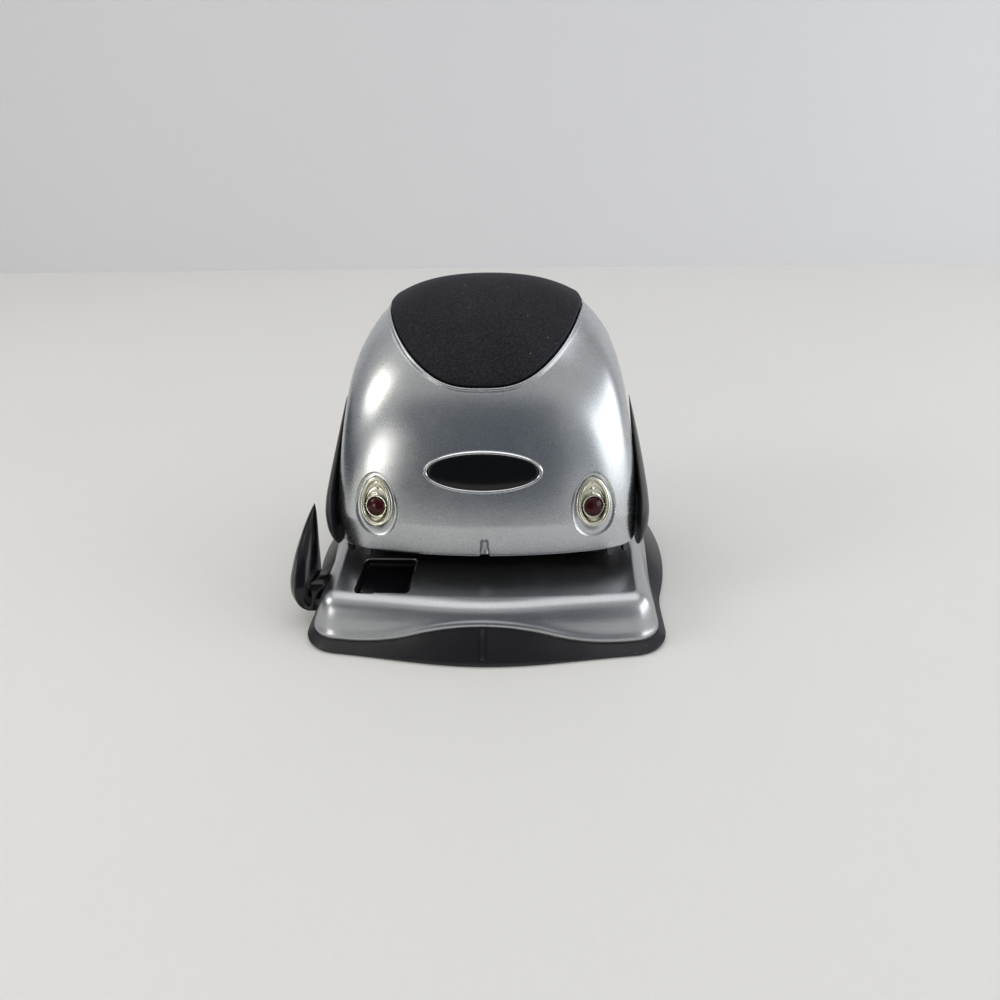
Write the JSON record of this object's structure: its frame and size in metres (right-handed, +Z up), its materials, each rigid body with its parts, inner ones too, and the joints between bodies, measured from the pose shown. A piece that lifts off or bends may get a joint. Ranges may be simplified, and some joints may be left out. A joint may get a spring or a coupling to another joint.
{
  "type": "hole punch",
  "caption": "Desk punch for filing holes, with a domed pressed lever, rubber grip pad, oval badge, red-jewelled eye reflectors, sliding paper guide and wavy chip tray.",
  "frame": {"origin": "on the table, below the midpoint between the two punch pins", "axes": "+X to the right as seen from the front, +Y to the rear, +Z up"},
  "size_m": [0.1483, 0.1355, 0.1198],
  "materials": {
    "cover_silver": "satin",
    "plate_silver": "satin",
    "steel": "ground",
    "frame_steel": "satin",
    "chrome": "polished",
    "black_moulding": "fine grain",
    "black_gloss": "gloss",
    "pad_rubber": "grained",
    "red_jewel": "clear gloss",
    "brass": "turned"
  },
  "bodies": {
    "base": {"base_plate": "plate_silver", "die_plate": "steel", "punch_frame": "frame_steel", "frame_rivets": "steel", "pivot_rod": "steel", "side_cap_left": "black_moulding", "throat_housing": "black_moulding", "window_bezel": "black_gloss", "window_pane": "black_gloss", "guide_channel": "black_moulding", "pin_guide_left": "brass", "pin_guide_right": "brass", "return_spring_left": "steel", "return_spring_right": "steel"},
    "lever": {"lever_cover": "cover_silver", "lever_body": "black_moulding", "press_bar": "steel", "grip_pad": "pad_rubber", "badge_rim": "chrome", "badge_plate": "black_gloss", "reflector_left": "chrome", "reflector_right": "chrome", "jewel_left": "red_jewel", "jewel_right": "red_jewel"},
    "pin_left": {"punch_pin_left": "steel"},
    "pin_right": {"punch_pin_right": "steel"},
    "lock": {"lock_lever": "black_moulding"},
    "guide": {"guide_rule": "black_gloss", "guide_claw": "black_gloss"},
    "tray": {"chip_tray": "black_moulding"}
  },
  "joints": [
    {"name": "lever_hinge", "type": "hinge", "parent": "base", "child": "lever", "pos_m": [0, -0.016, 0.038], "axis": [-1, 0, 0], "range_deg": [0, 24], "stiffness_Nm_per_rad": 0.5, "springref_deg": -17.19},
    {"name": "pin_slide_left", "type": "slide", "parent": "base", "child": "pin_left", "axis": [0, 0, -1], "range_m": [0, 0.00734], "deforming": ["return_spring_left"]},
    {"name": "pin_slide_right", "type": "slide", "parent": "base", "child": "pin_right", "axis": [0, 0, -1], "range_m": [0, 0.00734], "deforming": ["return_spring_right"]},
    {"name": "lock_hinge", "type": "hinge", "parent": "base", "child": "lock", "pos_m": [0, -0.016, 0.038], "axis": [-1, 0, 0], "range_deg": [0, 24]},
    {"name": "guide_slide", "type": "slide", "parent": "base", "child": "guide", "axis": [-1, 0, 0], "range_m": [0, 0.082]},
    {"name": "tray_hinge", "type": "hinge", "parent": "base", "child": "tray", "pos_m": [0, 0.057, 0.014], "axis": [1, 0, 0], "range_deg": [0, 50]}
  ],
  "couplings": [
    {"joint": "pin_slide_left", "follows": "lever_hinge", "m_per_rad": 0.0175},
    {"joint": "pin_slide_right", "follows": "lever_hinge", "m_per_rad": 0.0175}
  ]
}
